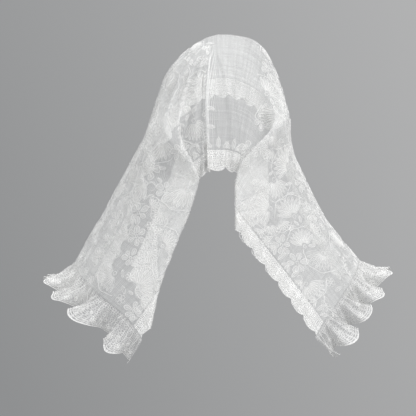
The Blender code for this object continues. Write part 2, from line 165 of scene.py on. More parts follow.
def spline(knots, values, at):
    """Natural cubic spline through values at the knots."""
    count = len(knots)
    step = np.diff(knots)
    slope = np.diff(values) / step
    system = np.eye(count)
    right_side = np.zeros(count)
    for k in range(1, count - 1):
        system[k, k - 1] = step[k - 1]
        system[k, k] = 2.0 * (step[k - 1] + step[k])
        system[k, k + 1] = step[k]
        right_side[k] = 6.0 * (slope[k] - slope[k - 1])
    bend = np.linalg.solve(system, right_side)
    k = np.clip(np.searchsorted(knots, at) - 1, 0, count - 2)
    a = (knots[k + 1] - at) / step[k]
    b = 1.0 - a
    curve = ((a ** 3 - a) * bend[k] + (b ** 3 - b) * bend[k + 1]) * step[k] ** 2 / 6.0
    return a * values[k] + b * values[k + 1] + curve


def between(table, row, column):
    """Read a table at fractional rows and columns."""
    row = np.clip(row, 0, table.shape[0] - 1.001)
    column = np.clip(column, 0, table.shape[1] - 1.001)
    i = row.astype(int)
    j = column.astype(int)
    u = row - i
    v = column - j
    near = table[i, j] * (1 - v) + table[i, j + 1] * v
    far = table[i + 1, j] * (1 - v) + table[i + 1, j + 1] * v
    return near * (1 - u) + far * u


# ================================================================== the hanging form
FINE = 600
AZIMUTH_STEP = 2.0
REACH_STEP = 2.0


def section_columns():
    """Depth and half widths as smooth columns, from the crown down."""
    depth = np.array([s.depth for s in SECTIONS], float)
    mean = np.array([(s.left + s.right + s.back + s.front) / 4 for s in SECTIONS], float)
    knots = np.concatenate([[0], np.cumsum(np.hypot(np.diff(depth), np.diff(mean)))])
    at = np.linspace(0, knots[-1], FINE)
    both_sides = np.concatenate([-knots[3:0:-1], knots])
    columns = {"depth": spline(both_sides, np.concatenate([depth[3:0:-1], depth]), at)}
    for side in ("left", "right", "back", "front"):
        width = np.array([getattr(s, side) for s in SECTIONS], float)
        columns[side] = spline(both_sides, np.concatenate([-width[3:0:-1], width]), at)
    return columns


COLUMNS = section_columns()


def ring_radius(azimuth, level):
    """Distance of the hanging form from the upright axis; level counts the fine sections."""
    across = np.sin(np.radians(azimuth))
    along = np.cos(np.radians(azimuth))

    def column(name):
        return np.interp(level, np.arange(FINE), COLUMNS[name])

    wide = np.where(across > 0, column("left"), column("right")) + 1e-6
    deep = np.where(along > 0, column("back"), column("front")) + 1e-6
    total = (np.abs(across) / wide) ** ROUNDNESS + (np.abs(along) / deep) ** ROUNDNESS
    return total ** (-1.0 / ROUNDNESS)


def level_table():
    """Section level by azimuth and by distance from the crown along the form."""
    azimuths = np.arange(-180, 180 + AZIMUTH_STEP, AZIMUTH_STEP)
    levels = np.arange(FINE)
    rows = []
    for azimuth in azimuths:
        radius = ring_radius(np.full(FINE, azimuth), levels)
        steps = np.hypot(np.diff(radius), np.diff(COLUMNS["depth"]))
        reach = np.concatenate([[0], np.cumsum(steps)])
        rows.append(np.interp(np.arange(0, 520, REACH_STEP), reach, levels))
    return np.array(rows)


LEVELS = level_table()


def form_point(azimuth, reach):
    """Point of the hanging form, reach millimetres from the crown."""
    azimuth = (azimuth + 180.0) % 360.0 - 180.0
    level = between(LEVELS, (azimuth + 180.0) / AZIMUTH_STEP, np.maximum(reach, 0) / REACH_STEP)
    radius = ring_radius(azimuth, level)
    depth = np.interp(level, np.arange(FINE), COLUMNS["depth"])
    across = radius * np.sin(np.radians(azimuth))
    along = radius * np.cos(np.radians(azimuth))
    return np.stack([across, along, -depth], axis=-1)


def form_normal(azimuth, reach):
    """Outward unit normal of the hanging form."""
    turn = form_point(azimuth + 1.0, reach) - form_point(azimuth - 1.0, reach)
    fall = form_point(azimuth, reach + 2.0) - form_point(azimuth, reach - 2.0)
    normal = np.cross(fall, turn)
    length = np.linalg.norm(normal, axis=-1, keepdims=True)
    upright = np.zeros_like(normal)
    upright[..., 2] = 1.0
    normal = np.where(length > 1e-6, normal / np.maximum(length, 1e-6), upright)
    from_middle = (normal * form_point(azimuth, reach) / 100).sum(-1, keepdims=True)
    outward = np.sign(normal[..., 2:3] + 0.6 * from_middle)
    return normal * np.where(outward == 0, 1.0, outward)


# ================================================================== folds
TURN_STEP = 1.0
PLEAT_FINE = 240


def pleat_tables():
    """A strip of unit length that turns back on itself: how far it gets along and up."""
    turn = np.radians(np.arange(0, 176, TURN_STEP))[:, None]
    share = np.linspace(0, 1, PLEAT_FINE + 1)[None, :]
    bent = smoothstep(share / BEND_SHARE) * smoothstep((1 - share) / BEND_SHARE)
    angle = turn * bent
    tables = []
    for heading in (np.cos(angle), np.sin(angle)):
        middle = (heading[:, 1:] + heading[:, :-1]) / 2 / PLEAT_FINE
        tables.append(np.concatenate([np.zeros((len(turn), 1)), np.cumsum(middle, axis=1)], axis=1))
    return tables


PLEAT_ALONG, PLEAT_UP = pleat_tables()


def wrapped(angle):
    """Degrees brought between -180 and 180."""
    return (angle + 180.0) % 360.0 - 180.0


def folded_cloth(pleat, out):
    """Cloth, mm, that a pleat takes up at a distance from the pinch."""
    return pleat.folded * smoothstep((out - pleat.begins) / (pleat.full - pleat.begins))


def pleat_start(pleat, out):
    """Direction from the pinch in which a pleat starts."""
    gone = np.clip((out - pleat.begins) / (PLEAT_END - pleat.begins), 0.0, 1.0)
    return pleat.near + (pleat.far - pleat.near) * (1.0 - (1.0 - gone) ** pleat.curve)


def folds(x, y):
    """Sideways shift and lift, mm, that pleats and ridges give to flat places."""
    out = np.hypot(x - PINCH_X, y - PINCH_Y)
    direction = np.degrees(np.arctan2(x - PINCH_X, y - PINCH_Y))
    shift = np.zeros_like(out)
    lift = np.zeros_like(out)
    for pleat in PLEATS:
        start = pleat_start(pleat, out)
        past = pleat.sweep * (direction - start)
        cloth = folded_cloth(pleat, out)
        width = np.degrees(cloth / np.maximum(out, 1.0))
        share = np.clip(past / np.maximum(width, 0.1), 0, 1)
        turn = np.degrees(BEND_SHARE * cloth / 1.5 / TIGHTEST)
        row = np.minimum(turn, pleat.turn) / TURN_STEP
        column = share * PLEAT_FINE
        laid = share * (1 - (1 - EASE) * cloth / pleat.folded)
        left_over = pleat.sweep * (pleat.calm - start) - width
        settled = 1 - smoothstep((past - width) / left_over)
        shift += pleat.sweep * cloth * (between(PLEAT_ALONG, row, column) - laid) * settled
        lift += cloth * between(PLEAT_UP, row, column) * settled
    for ridge in RIDGES:
        across = np.clip(wrapped(direction - ridge.toward) / ridge.half_width, -1, 1)
        grown = smoothstep((out - ridge.begins) / (ridge.full - ridge.begins))
        grown = grown * (1 - smoothstep((out - ridge.fades) / 70.0))
        crest = (0.5 + 0.5 * np.cos(np.pi * across)) * grown
        shift += ridge.lean * crest
        lift += ridge.lift * crest
    return shift, lift


def veil_point(x, y):
    """Draped place, mm, of the middle of the cloth at flat x and y."""
    x = np.asarray(x, float)
    y = np.asarray(y, float)
    reach = np.hypot(x, y)
    flat_angle = np.degrees(np.arctan2(x, y))
    slant = np.sin(np.radians(2 * np.abs(flat_angle)))
    loose = smoothstep((reach - HEAD_REACH) / (HEM_REACH - HEAD_REACH))
    back_spread = np.where(x > 0, LEFT_BACK_SPREAD, RIGHT_BACK_SPREAD)
    spread = np.where(slant > 0, back_spread, FRONT_SPREAD)
    azimuth = flat_angle - np.sign(x) * spread * slant * loose
    reach = reach * (1 + BIAS_STRETCH * slant ** 2 * loose)
    shift, lift = folds(x, y)
    start = form_point(azimuth, reach)
    radius = np.maximum(np.hypot(start[..., 0], start[..., 1]), 25.0)
    azimuth = azimuth + np.degrees(shift / radius)
    return form_point(azimuth, reach) + form_normal(azimuth, reach) * lift[..., None]


# ================================================================== web of the net panel
def web_knots(out):
    """Web lines that are tied to the pleats and the directions they run in at a distance."""
    stations = [-180.0, PLEATS[0].calm]
    directions = [-180.0, PLEATS[0].calm]
    for pleat in PLEATS:
        start = pleat_start(pleat, out)
        end = start + pleat.sweep * max(np.degrees(folded_cloth(pleat, out) / out), LEAST_SEAT)
        ordered = [(pleat.seat_start, start), (pleat.seat_end, end)]
        for station, direction in ordered[::pleat.sweep]:
            stations.append(station)
            directions.append(direction)
        if pleat is PLEATS[0]:
            stations.append(MIDDLE_LINE)
            directions.append(MIDDLE_LINE)
    stations.extend((PLEATS[-1].calm, 180.0))
    directions.extend((PLEATS[-1].calm, 180.0))
    return stations, directions


def web_direction(station, out):
    """Direction from the pinch of a web line; inside a pleat the lines keep to its cloth."""
    stations, directions = web_knots(out)
    return np.interp(station, stations, directions)


def web_station(direction, out):
    """Web line that passes a direction at a distance."""
    stations, directions = web_knots(out)
    return np.interp(direction, directions, stations)


# ================================================================== sheets
def unit(vectors):
    """Vectors brought to length one."""
    return vectors / np.maximum(np.linalg.norm(vectors, axis=-1, keepdims=True), 1e-9)


def panel_surface(x, y):
    """Draped place of the net and its edgings, with the slight unevenness of soft cloth."""
    place = veil_point(x, y)
    soft = smoothstep((np.hypot(x, y) - 90.0) / 120.0)
    swell = 0.7 * np.sin(x / 17.0 + 1.3 * np.sin(y / 23.0)) * np.sin(y / 19.0 + 0.8) * soft
    azimuth = np.degrees(np.arctan2(place[..., 0], place[..., 1]))
    reach = np.hypot(x, y)
    return place + form_normal(azimuth, reach) * swell[..., None]


RUFFLE_ROWS_START = 0.10   # share of a ruffle's width that lies flat at its seam


def ruffle_surface(side):
    """Draped place of a gathered end: u in mm along its seam, v in mm out from it."""
    def surface(u, v):
        u = np.asarray(u, float)
        v = np.asarray(v, float)
        along = np.clip(u / (BACK_REACH + FRONT_REACH), 0.0, 1.0)
        row = v / RUFFLE_WIDTH
        y = -FRONT_REACH + (BACK_REACH + FRONT_REACH) * along
        x = np.full_like(y, side * (HALF_LENGTH + SEAM_GAP))
        seam = veil_point(x, y)
        outward = unit(veil_point(x + side * 6, y) - veil_point(x - side * 6, y))
        sideways = unit(veil_point(x, y + 6) - veil_point(x, y - 6))
        normal = unit(np.cross(sideways, outward)) * -side
        wave = 2 * np.pi * RUFFLE_WAVES * (along + 0.012 * np.sin(9 * along + side))
        uneven = 1 + 0.14 * np.sin(11 * along + side) + RUFFLE_UNEVEN * np.sin(wave / 2 + 1.0)
        free = np.maximum(row - RUFFLE_ROWS_START, 0.0) / (1.0 - RUFFLE_ROWS_START)
        wave_3 = 3 * wave + 1.5 * np.sin(wave)
        crimp = smoothstep((row - 0.35) / 0.65)
        turn = RUFFLE_TURN * (1 + 0.4 * np.sin(7.5 * along - 2.0 + 0.4 * side))
        tipped = turn * free + 0.001
        drawn_back = RUFFLE_ARCH * (1 - np.sin(wave)) / 2
        reach = v * (1 - drawn_back * free) + 1.5 * crimp * np.cos(wave_3)
        swing = RUFFLE_SWING * np.sin(wave) * free ** 0.85 * uneven + 2.6 * crimp * np.sin(wave_3)
        swing = swing + 3.2 * np.sin(5 * wave + 2 * np.sin(wave)) * smoothstep(row / 0.25) * (1 - 0.7 * row)
        away = reach * np.sin(tipped) / tipped - swing * np.sin(tipped)
        off = reach * (1 - np.cos(tipped)) / tipped + swing * np.cos(tipped)
        sway = -(RUFFLE_CURL * np.sin(2 * wave) + RUFFLE_BELL * np.cos(wave)) * free * uneven
        sway = sway + RUFFLE_LEAN * np.sin(14.5 * along + 1.5 * side) * free
        parts = (outward * away[..., None], normal * off[..., None], sideways * sway[..., None])
        return seam + parts[0] + parts[1] + parts[2]
    return surface



def surface_normal(surface, u, v):
    """Unit normal of a sheet at flat places."""
    along = surface(u + 0.4, v) - surface(u - 0.4, v)
    across = surface(u, v + 0.4) - surface(u, v - 0.4)
    return unit(np.cross(along, across))


def mesh_object(name, places, faces, flat, materials, shades=None):
    """A mesh piece through places in mm, with its flat places as UV in mm."""
    mesh = bpy.data.meshes.new(name)
    mesh.from_pydata((np.asarray(places) * MM).tolist(), [], faces)
    layer = mesh.uv_layers.new(name="flat")
    loops = np.zeros(len(mesh.loops), dtype=np.int32)
    mesh.loops.foreach_get("vertex_index", loops)
    layer.data.foreach_set("uv", np.asarray(flat, float)[loops].ravel())
    mesh.shade_smooth()
    for material in materials:
        mesh.materials.append(material)
    if shades is not None:
        mesh.polygons.foreach_set("material_index", np.asarray(shades, dtype=np.int32))
    piece = bpy.data.objects.new(name, mesh)
    bpy.context.scene.collection.objects.link(piece)
    return piece


# ================================================================== stitching drawn on a sheet
class Stitching:
    """Raised threads and satin shapes, drawn in mm on a sheet and draped with it."""

    def __init__(self, surface, outward):
        self.surface = surface
        self.outward = outward
        self.open_work = False
        self.flat = []
        self.high = []
        self.faces = []
        self.shades = []

    def frame_at(self, x, y, turn):
        """Flat vectors that are 1 mm long, square and turned by an angle once draped."""
        step = 3.0
        at_x = np.array([x + step, x - step, x, x])
        at_y = np.array([y, y, y + step, y - step])
        near = self.surface(at_x, at_y)
        jx = (near[0] - near[1]) / 2 / step
        jy = (near[2] - near[3]) / 2 / step
        long_x = max(np.linalg.norm(jx), 0.62)
        lean = float(np.dot(jx, jy)) / long_x ** 2
        square = jy - lean * jx
        long_y = max(np.linalg.norm(square), 0.62)
        first = np.array([1.0 / long_x, 0.0])
        second = np.array([-lean / long_y, 1.0 / long_y])
        c = np.cos(turn)
        s = np.sin(turn)
        return np.array([x, y]), first * c + second * s, -first * s + second * c

    def add(self, frame_here, points, heights, faces, shade):
        """Add a shape by its local points; shade 0 is a light filling, 1 is thread."""
        centre, first, second = frame_here
        start = len(self.flat)
        for (u, v), high in zip(points, heights):
            self.flat.append(centre + u * first + v * second)
            self.high.append(high)
        self.faces.extend([tuple(start + k for k in face) for face in faces])
        self.shades.extend([shade] * len(faces))

    def cord(self, frame_here, line, width, high=0.5, closed=False, taper=False):
        """A raised thread along local points."""
        line = np.asarray(line, float)
        count = len(line)
        if closed:
            ahead = np.roll(line, -1, axis=0) - np.roll(line, 1, axis=0)
        else:
            ahead = np.gradient(line, axis=0)
        ahead = ahead / np.maximum(np.linalg.norm(ahead, axis=1, keepdims=True), 1e-6)
        aside = np.stack([-ahead[:, 1], ahead[:, 0]], axis=1)
        wide = np.full(count, width / 2)
        if taper:
            wide = wide * (0.35 + 0.65 * np.sin(np.pi * (np.arange(count) + 0.5) / count))
        points = []
        heights = []
        for k in range(count):
            for across, up in ((-1, 0.12), (0, high), (1, 0.12)):
                points.append(line[k] + aside[k] * across * wide[k])
                heights.append(up)
        faces = []
        for k in range(count if closed else count - 1):
            a = 3 * k
            b = 3 * ((k + 1) % count)
            faces.append((a, b, b + 1, a + 1))
            faces.append((a + 1, b + 1, b + 2, a + 2))
        self.add(frame_here, points, heights, faces, 1)

    def satin(self, frame_here, base, tip, width, high=0.55, fullness=0.75, bend=0.0, steps=6):
        """A filled leaf or petal from base to tip, highest along its middle."""
        base = np.asarray(base, float)
        tip = np.asarray(tip, float)
        ahead = tip - base
        aside = np.array([-ahead[1], ahead[0]]) / max(np.hypot(*ahead), 1e-6)
        points = []
        heights = []
        for k in range(steps + 1):
            t = k / steps
            wide = width / 2 * np.sin(np.pi * t ** fullness) + 0.12
            middle = base + ahead * t + aside * bend * np.sin(np.pi * t)
            for across, up in ((-1, 0.12), (0, high), (1, 0.12)):
                points.append(middle + aside * across * wide)
                heights.append(up)
        faces = []
        for k in range(steps):
            a = 3 * k
            faces.append((a, a + 3, a + 4, a + 1))
            faces.append((a + 1, a + 4, a + 5, a + 2))
        self.add(frame_here, points, heights, faces, 0)

    def patch(self, frame_here, outline, high=0.45):
        """Light filling stitches inside an outline, highest in its middle."""
        if self.open_work:
            return
        outline = [np.asarray(point, float) for point in outline]
        middle = sum(outline) / len(outline)
        count = len(outline)
        faces = [(0, 1 + k, 1 + (k + 1) % count) for k in range(count)]
        self.add(frame_here, [middle] + outline, [high] + [0.1] * count, faces, 0)

    def build(self, name, material):
        """Drape all that was drawn into one mesh piece."""
        flat = np.array(self.flat)
        places = self.surface(flat[:, 0], flat[:, 1])
        normal = surface_normal(self.surface, flat[:, 0], flat[:, 1]) * self.outward
        places = places + normal * (np.array(self.high)[:, None] + 0.15)
        return mesh_object(name, places, self.faces, flat, (filling, material), self.shades)


def polar(radius, angle):
    """A local point by its distance and its angle in degrees."""
    return np.array([radius * np.cos(np.radians(angle)), radius * np.sin(np.radians(angle))])


def ring(radius, count, squash=1.0):
    """Points of a closed ring."""
    return [(radius * np.cos(a), radius * squash * np.sin(a)) for a in np.arange(count) * 2 * np.pi / count]


def oval(middle, angle, long, wide, full=0.0, point=0.0, count=12):
    """Closed outline round a middle; full widens its far end and point sharpens both ends."""
    line = []
    for k in range(count):
        t = 2 * np.pi * k / count
        across = np.sin(t) * abs(np.sin(t)) ** point * (1 + full * np.cos(t))
        line.append(middle + polar(long * np.cos(t), angle) + polar(wide * across, angle + 90))
    return line


def flower(work, x, y, turn, size, petals, ribbed):
    """A flower of separate rounded petals round a ringed eyelet."""
    here = work.frame_at(x, y, turn)
    radius = size / 2
    work.cord(here, ring(radius * 0.15, 8), 0.9, 0.7, closed=True)
    for k in range(petals):
        angle = 360.0 * k / petals + 7 * np.sin(k * 2.4 + x)
        out = radius * (1 + 0.10 * np.sin(k * 3.1 + y))
        middle = polar(out * 0.63, angle)
        wide = out * (0.50 + 0.07 * np.sin(k * 5.3 + y)) * np.sin(np.pi / petals)
        outline = oval(middle, angle, out * 0.37, wide, 0.36, 0.40, 12)
        work.patch(here, outline)
        work.cord(here, outline, 0.75, 0.6, closed=True)
        for way in ((-0.3, 0.0, 0.3) if ribbed else (0.0,)):
            tip = angle + way * 110 / petals
            work.cord(here, [polar(out * 0.34, angle), polar(out * 0.78, tip)], 0.55, 0.6)


def daisy(work, x, y, turn, size, petals):
    """A small flower with filled petals."""
    here = work.frame_at(x, y, turn)
    radius = size / 2
    work.cord(here, ring(radius * 0.2, 6), 0.9, 0.7, closed=True)
    for k in range(petals):
        angle = 360.0 * k / petals
        wide = radius * 0.62 * np.sin(np.pi / petals)
        outline = oval(polar(radius * 0.64, angle), angle, radius * 0.34, wide, 0.3, 0.0, 8)
        work.patch(here, outline)
        work.cord(here, outline, 0.6, 0.5, closed=True)


def leaf(work, here, root, angle, long, wide):
    """A pointed leaf with its outline and midrib."""
    middle = np.asarray(root, float) + polar(long / 2, angle)
    outline = oval(middle, angle, long / 2, wide / 2, -0.1, 0.45, 10)
    work.patch(here, outline)
    work.cord(here, outline, 0.65, 0.5, closed=True)
    work.cord(here, [np.asarray(root, float) + polar(long * r, angle) for r in (0.05, 0.5, 0.85)], 0.5, 0.6)


def sprig(work, x, y, turn, length, curl, leaves):
    """A curved stem with leaves on both sides and a bud at its end."""
    here = work.frame_at(x, y, turn)
    stem = []
    for k in range(11):
        t = k / 10
        stem.append((length * (t - 0.5), curl * np.sin(np.pi * t * 0.9)))
    work.cord(here, stem, 0.8, 0.5)
    for k in range(leaves):
        t = (k + 0.8) / (leaves + 0.6)
        side = 1 if k % 2 else -1
        root = np.array([length * (t - 0.5), curl * np.sin(np.pi * t * 0.9)])
        slope = np.degrees(np.arctan(curl * np.pi * 0.9 / length * np.cos(np.pi * t * 0.9)))
        size = length * 0.26 * (1.05 - 0.4 * t)
        leaf(work, here, root, slope + side * 46, size, size * 0.42)
    leaf(work, here, stem[-1], 0, length * 0.14, length * 0.07)


def scroll(work, x, y, turn, size, way):
    """A tendril that curls in on itself."""
    here = work.frame_at(x, y, turn)
    line = []
    for k in range(17):
        angle = way * (30 + 21 * k)
        radius = size * (0.5 - 0.021 * k)
        line.append(polar(radius, angle))
    work.cord(here, line, 0.9, 0.45, taper=True)
    work.cord(here, [np.asarray(q) * 1.22 for q in line[:9]], 0.7, 0.4, taper=True)
    work.cord(here, [np.asarray(q) * 1.44 for q in line[1:7]], 0.6, 0.4, taper=True)


def shell(work, x, y, turn, size, ribs=7):
    """An open fan of ribs under a waved rim."""
    here = work.frame_at(x - 0.4 * size * np.cos(turn), y - 0.4 * size * np.sin(turn), turn)
    for k in range(ribs):
        angle = -58 + 116 * k / (ribs - 1)
        far = size * (0.9 - 0.1 * abs(k - (ribs - 1) / 2) / ribs)
        leaf(work, here, polar(size * 0.16, angle), angle, far - size * 0.16, size * 0.17)
    rim = [polar(size * (0.98 + 0.035 * np.cos(6 * np.pi * t)), -66 + 132 * t) for t in np.linspace(0, 1, 15)]
    work.cord(here, rim, 0.9, 0.6)
    work.cord(here, ring(size * 0.09, 6), 0.8, 0.6, closed=True)


# ================================================================== materials
def principled(name):
    """A new material and its nodes: material, tree, shader."""
    material = bpy.data.materials.new(name)
    material.use_nodes = True
    tree = material.node_tree
    shader = tree.nodes["Principled BSDF"]
    shader.inputs["Metallic"].default_value = 0.0
    return material, tree, shader


def math_node(tree, kind, first, second=None, third=None, clamp=False):
    """A Math node on sockets or numbers; returns its output."""
    node = tree.nodes.new("ShaderNodeMath")
    node.operation = kind
    node.use_clamp = clamp
    for socket, value in zip(node.inputs, (first, second, third)):
        if value is None:
            continue
        if isinstance(value, (int, float)):
            socket.default_value = value
        else:
            tree.links.new(value, socket)
    return node.outputs[0]


def flat_place(tree, scale):
    """The flat place of the cloth, in cells of a size; a pair sets the two ways apart."""
    along, across = scale if isinstance(scale, tuple) else (scale, scale)
    node = tree.nodes.new("ShaderNodeUVMap")
    node.uv_map = "flat"
    mapping = tree.nodes.new("ShaderNodeMapping")
    mapping.inputs["Scale"].default_value = (along, across, 1.0)
    tree.links.new(node.outputs["UV"], mapping.inputs["Vector"])
    return mapping.outputs["Vector"]


def net_material(name, colour, thread, open_share, closed_share, cell, hole, uneven):
    """Net whose alpha falls from the threads to the meshes between them."""
    material, tree, shader = principled(name)
    cells = tree.nodes.new("ShaderNodeTexVoronoi")
    cells.voronoi_dimensions = "2D"
    cells.feature = "DISTANCE_TO_EDGE"
    cells.inputs["Scale"].default_value = 1.0
    cells.inputs["Randomness"].default_value = uneven
    tree.links.new(flat_place(tree, 1.0 / cell), cells.inputs["Vector"])
    ramp = tree.nodes.new("ShaderNodeMapRange")
    ramp.interpolation_type = "SMOOTHSTEP"
    ramp.inputs["From Min"].default_value = thread
    ramp.inputs["From Max"].default_value = thread + hole
    ramp.inputs["To Min"].default_value = closed_share
    ramp.inputs["To Max"].default_value = open_share
    tree.links.new(cells.outputs["Distance"], ramp.inputs["Value"])
    cloud = tree.nodes.new("ShaderNodeTexNoise")
    cloud.inputs["Scale"].default_value = 1.0
    cloud.inputs["Detail"].default_value = 2.0
    tree.links.new(flat_place(tree, 1.0 / 26.0), cloud.inputs["Vector"])
    uneven_alpha = math_node(tree, "MULTIPLY_ADD", cloud.outputs["Fac"], 0.24, 0.88)
    for along, across in ((1 / 3.2, 1 / 140.0), (1 / 140.0, 1 / 3.2)):
        slubs = tree.nodes.new("ShaderNodeTexNoise")
        slubs.inputs["Scale"].default_value = 1.0
        slubs.inputs["Detail"].default_value = 1.0
        tree.links.new(flat_place(tree, (along, across)), slubs.inputs["Vector"])
        streak = math_node(tree, "MULTIPLY_ADD", slubs.outputs["Fac"], 0.8, 0.6)
        uneven_alpha = math_node(tree, "MULTIPLY", uneven_alpha, streak)
    alpha = math_node(tree, "MULTIPLY", ramp.outputs["Result"], uneven_alpha, clamp=True)
    tree.links.new(alpha, shader.inputs["Alpha"])
    tone = tree.nodes.new("ShaderNodeMix")
    tone.data_type = "RGBA"
    tone.inputs["A"].default_value = (*[c * 0.96 for c in colour], 1.0)
    tone.inputs["B"].default_value = (*colour, 1.0)
    tree.links.new(cloud.outputs["Fac"], tone.inputs["Factor"])
    tree.links.new(tone.outputs["Result"], shader.inputs["Base Color"])
    shader.inputs["Roughness"].default_value = 0.55
    shader.inputs["Sheen Weight"].default_value = 1.0
    shader.inputs["Sheen Roughness"].default_value = 0.35
    return material


def thread_material(name, colour, alpha):
    """Glossy embroidery thread with its stitches as fine bumps."""
    material, tree, shader = principled(name)
    wave = tree.nodes.new("ShaderNodeTexWave")
    wave.wave_type = "BANDS"
    wave.bands_direction = "DIAGONAL"
    wave.inputs["Scale"].default_value = 1.0
    wave.inputs["Distortion"].default_value = 1.5
    tree.links.new(flat_place(tree, 0.55), wave.inputs["Vector"])
    tone = tree.nodes.new("ShaderNodeMix")
    tone.data_type = "RGBA"
    tone.inputs["A"].default_value = (*[c * 0.93 for c in colour], 1.0)
    tone.inputs["B"].default_value = (*colour, 1.0)
    tree.links.new(wave.outputs["Fac"], tone.inputs["Factor"])
    tree.links.new(tone.outputs["Result"], shader.inputs["Base Color"])
    bump = tree.nodes.new("ShaderNodeBump")
    bump.inputs["Strength"].default_value = 0.35
    bump.inputs["Distance"].default_value = 0.0003
    tree.links.new(wave.outputs["Fac"], bump.inputs["Height"])
    tree.links.new(bump.outputs["Normal"], shader.inputs["Normal"])
    shader.inputs["Roughness"].default_value = 0.45
    shader.inputs["Sheen Weight"].default_value = 0.2
    shader.inputs["Alpha"].default_value = alpha
    return material


net = net_material("veil_net", (0.93, 0.935, 0.93), 0.07, 0.17, 0.55, 1.5, 0.10, 0.15)
lace = net_material("veil_lace", (0.94, 0.94, 0.93), 0.16, 0.24, 0.86, 2.3, 0.10, 0.75)
# grey base colour of the gathered ends' net: painted shade, a darker copy of the white lace and net
painted_shade_organza = net_material("veil_painted_shade_organza", (0.78, 0.78, 0.775), 0.12, 0.22, 0.60, 2.7, 0.14, 0.7)
filling = thread_material("veil_filling", (0.95, 0.95, 0.94), 0.30)
soft_thread = thread_material("veil_soft_thread", (0.96, 0.96, 0.95), 0.66)
# darker base colour of the gathered ends' thread: painted shade, a darker copy of the white embroidery thread
thread = thread_material("veil_thread_painted_shade", (0.88, 0.88, 0.87), 0.85)


# ================================================================== net panel
LINE_STEP = 3.4
PLEAT_LINES = 26
RING_COUNT = 50
MEAN_REACH = 190.0


def panel_mesh():
    """Flat points and faces of the panel, on web lines that follow the pleats."""
    corners = (
        (HALF_LENGTH, -PANEL_FRONT), (HALF_LENGTH, PANEL_BACK),
        (-HALF_LENGTH, PANEL_BACK), (-HALF_LENGTH, -PANEL_FRONT),
    )
    stations = []
    for first, last in zip(corners, corners[1:] + corners[:1]):
        count = round(np.hypot(last[0] - first[0], last[1] - first[1]) / LINE_STEP)
        for k in range(count):
            x, y = (a + (b - a) * k / count for a, b in zip(first, last))
            out = np.hypot(x - PINCH_X, y - PINCH_Y)
            direction = np.degrees(np.arctan2(x - PINCH_X, y - PINCH_Y))
            stations.append((web_station(direction, out), (x, y)))
    for pleat in PLEATS:
        for share in np.linspace(0, 1, PLEAT_LINES + 1):
            station = pleat.seat_start + (pleat.seat_end - pleat.seat_start) * share
            place = edge_hit(station)
            for _ in range(8):
                out = np.hypot(place[0] - PINCH_X, place[1] - PINCH_Y)
                place = edge_hit(web_direction(station, out))
            stations.append((station, place))
    stations.sort(key=lambda line: -line[0])
    kept = [stations[0]]
    for line in stations[1:]:
        corner = abs(abs(line[1][0]) - HALF_LENGTH) < 1e-6 and line[1][1] in (PANEL_BACK, -PANEL_FRONT)
        if np.hypot(line[1][0] - kept[-1][1][0], line[1][1] - kept[-1][1][1]) > 0.9:
            kept.append(line)
        elif corner:
            kept[-1] = line
    flat = [(PINCH_X, PINCH_Y)]
    levels = [(k + 1) / RING_COUNT for k in range(RING_COUNT)]
    for fraction in levels:
        for station, (x, y) in kept:
            full = np.hypot(x - PINCH_X, y - PINCH_Y)
            if fraction == 1.0:
                flat.append((x, y))
                continue
            out = fraction * (MEAN_REACH * (1 - fraction) + full * fraction)
            direction = np.radians(web_direction(station, out))
            flat.append((PINCH_X + out * np.sin(direction), PINCH_Y + out * np.cos(direction)))
    count = len(kept)
    faces = [(0, 1 + k, 1 + (k + 1) % count) for k in range(count)]
    for level in range(RING_COUNT - 1):
        inner = 1 + level * count
        outer = inner + count
        for k in range(count):
            after = (k + 1) % count
            faces.append((inner + k, outer + k, outer + after, inner + after))
    return np.array(flat), faces


def edge_hit(direction):
    """Where a straight line from the pinch leaves the panel."""
    dx = np.sin(np.radians(direction))
    dy = np.cos(np.radians(direction))
    side = (HALF_LENGTH if dx > 0 else -HALF_LENGTH) - PINCH_X
    end = (PANEL_BACK if dy > 0 else -PANEL_FRONT) - PINCH_Y
    out = min(side / dx if abs(dx) > 1e-9 else np.inf, end / dy if abs(dy) > 1e-9 else np.inf)
    return PINCH_X + out * dx, PINCH_Y + out * dy


flat, faces = panel_mesh()
panel = mesh_object("net_cloth", panel_surface(flat[:, 0], flat[:, 1]), faces, flat, (net,))

# embroidery on the net, largest first: kind, room in mm from its middle, tries, size in mm
Motif = namedtuple("Motif", "kind room tries small large")
MOTIFS = (
    Motif("fan", 14.5, 240, 24, 31),
    Motif("flower", 13.5, 1300, 23, 29),
    Motif("sprig", 11.0, 1800, 26, 36),
    Motif("fan", 8.0, 900, 14, 18),
    Motif("daisy", 6.0, 1500, 10, 14),
    Motif("scroll", 6.0, 1500, 13, 20),
    Motif("leaf", 3.6, 3400, 8, 12),
)


def plain(place, room):
    """Whether a motif with its room would be on the part of the head that has no embroidery."""
    across, back, up = place
    if up > -14:
        return True
    if back < 0:
        return up > -128 and abs(across) < 70
    return -62 - 0.1 * up < across < 10 + 0.9 * room and up > -152


def draw(work, motif, x, y, turn, size, count):
    """One motif by its kind."""
    if motif.kind == "flower":
        flower(work, x, y, turn, size, 5 + count % 2, count % 3 == 0)
    elif motif.kind == "sprig":
        sprig(work, x, y, turn, size, size * (0.22, -0.25)[count % 2], 6 + count % 3)
    elif motif.kind == "fan":
        shell(work, x, y, turn, size, 7 if size < 20 else 9)
    elif motif.kind == "daisy":
        daisy(work, x, y, turn, size, 5 + count % 3)
    elif motif.kind == "scroll":
        scroll(work, x, y, turn, size, (1, -1)[count % 2])
    else:
        here = work.frame_at(x, y, turn)
        leaf(work, here, (-size / 2, 0), 0, size, size * 0.4)


